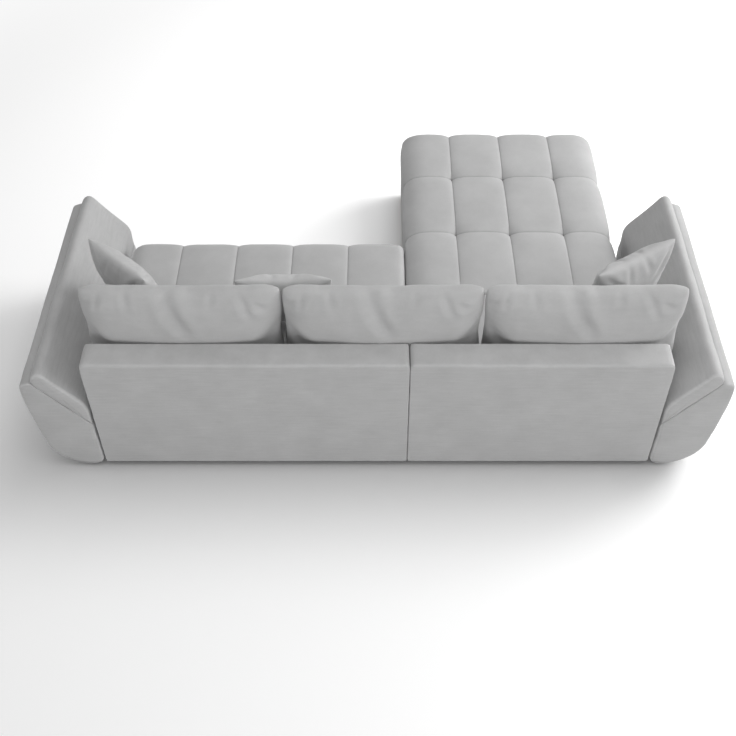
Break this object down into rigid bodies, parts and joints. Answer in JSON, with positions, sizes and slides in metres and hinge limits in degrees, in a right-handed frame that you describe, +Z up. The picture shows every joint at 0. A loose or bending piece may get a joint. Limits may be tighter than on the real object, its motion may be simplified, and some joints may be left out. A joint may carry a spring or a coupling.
{
  "type": "corner sofa bed",
  "caption": "Upholstered corner sofa bed with a chaise whose lid opens on a storage box, a pull-out bed drawer, loose back cushions and throw pillows.",
  "frame": {"origin": "on the floor under the middle of the sofa's bounding box", "axes": "+Z up, +X along the back towards the main seat's arm, -Y is the front, where the chaise reaches furthest"},
  "size_m": [2.75, 1.75, 0.8346],
  "materials": {
    "fabric": "soft matt woven velvet",
    "ticking": "matt mattress ticking",
    "wood": "raw board",
    "steel": "zinc plated",
    "webbing": "woven strap",
    "plastic": "moulded"
  },
  "bodies": {
    "sofa": {"arm_frame_left": "wood", "arm_frame_right": "wood", "arm_cover_left": "fabric", "arm_cover_right": "fabric", "arm_pad_left": "fabric", "arm_pad_right": "fabric", "back_frame_main": "wood", "back_frame_chaise": "wood", "back_cover_main": "fabric", "back_cover_chaise": "fabric", "seat_side_outer": "wood", "seat_side_inner": "wood", "seat_rear_rail": "wood", "seat_frame": "wood", "seat_slats": "wood", "seat_pad": "fabric", "guide_rails": "steel", "chaise_side_outer": "wood", "chaise_side_inner": "wood", "chaise_front_board": "wood", "chaise_rear_board": "wood", "chaise_bottom": "wood", "chaise_rear_deck": "wood", "chaise_rear_pad": "fabric", "chaise_face_front": "fabric", "chaise_face_inner": "fabric", "chaise_face_outer": "fabric", "lid_hinges_fixed": "steel", "feet": "plastic", "joining_bolts": "steel", "arm_spacers": "plastic"},
    "drawer": {"drawer_front_board": "wood", "drawer_front_face": "fabric", "drawer_side_outer": "wood", "drawer_side_inner": "wood", "drawer_bottom": "wood", "drawer_rear_board": "wood", "drawer_runners": "plastic", "drawer_strap": "webbing", "castor_forks": "steel", "lift_brackets": "steel", "lift_links": "steel", "mattress_platform": "wood", "mattress": "ticking"},
    "castor_1": {"castor_wheel_1": "plastic"},
    "castor_2": {"castor_wheel_2": "plastic"},
    "castor_3": {"castor_wheel_3": "plastic"},
    "castor_4": {"castor_wheel_4": "plastic"},
    "lid": {"lid_board": "wood", "lid_pad": "fabric", "lid_hinges_moving": "steel"},
    "back_cushion_main": {"back_cushion_main": "fabric"},
    "back_cushion_middle": {"back_cushion_middle": "fabric"},
    "back_cushion_chaise": {"back_cushion_chaise": "fabric"},
    "throw_pillow_arm": {"throw_pillow_arm": "fabric"},
    "throw_pillow_middle": {"throw_pillow_middle": "fabric"},
    "throw_pillow_chaise": {"throw_pillow_chaise": "fabric"}
  },
  "joints": [
    {"name": "drawer_slide", "type": "slide", "parent": "sofa", "child": "drawer", "axis": [0, -1, 0], "range_m": [0, 0.62]},
    {"name": "castor_1_spin", "type": "hinge", "parent": "drawer", "child": "castor_1", "pos_m": [0.033, 0.5987, 0.02], "axis": [1, 0, 0], "continuous": true},
    {"name": "castor_2_spin", "type": "hinge", "parent": "drawer", "child": "castor_2", "pos_m": [0.971, 0.5987, 0.02], "axis": [1, 0, 0], "continuous": true},
    {"name": "castor_3_spin", "type": "hinge", "parent": "drawer", "child": "castor_3", "pos_m": [0.033, 0.045, 0.02], "axis": [1, 0, 0], "continuous": true},
    {"name": "castor_4_spin", "type": "hinge", "parent": "drawer", "child": "castor_4", "pos_m": [0.971, 0.045, 0.02], "axis": [1, 0, 0], "continuous": true},
    {"name": "lid_hinge", "type": "hinge", "parent": "sofa", "child": "lid", "pos_m": [-0.6045, 0.279, 0.405], "axis": [-1, 0, 0], "range_deg": [0, 60]},
    {"name": "back_cushion_main_lift", "type": "slide", "parent": "sofa", "child": "back_cushion_main", "axis": [0, 0, 1], "range_m": [0, 0.5]},
    {"name": "back_cushion_middle_lift", "type": "slide", "parent": "sofa", "child": "back_cushion_middle", "axis": [0, 0, 1], "range_m": [0, 0.5]},
    {"name": "back_cushion_chaise_lift", "type": "slide", "parent": "sofa", "child": "back_cushion_chaise", "axis": [0, 0, 1], "range_m": [0, 0.5]},
    {"name": "throw_pillow_arm_lift", "type": "slide", "parent": "sofa", "child": "throw_pillow_arm", "axis": [0, 0, 1], "range_m": [0, 0.5]},
    {"name": "throw_pillow_middle_lift", "type": "slide", "parent": "sofa", "child": "throw_pillow_middle", "axis": [0, 0, 1], "range_m": [0, 0.5]},
    {"name": "throw_pillow_chaise_lift", "type": "slide", "parent": "sofa", "child": "throw_pillow_chaise", "axis": [0, 0, 1], "range_m": [0, 0.5]}
  ]
}
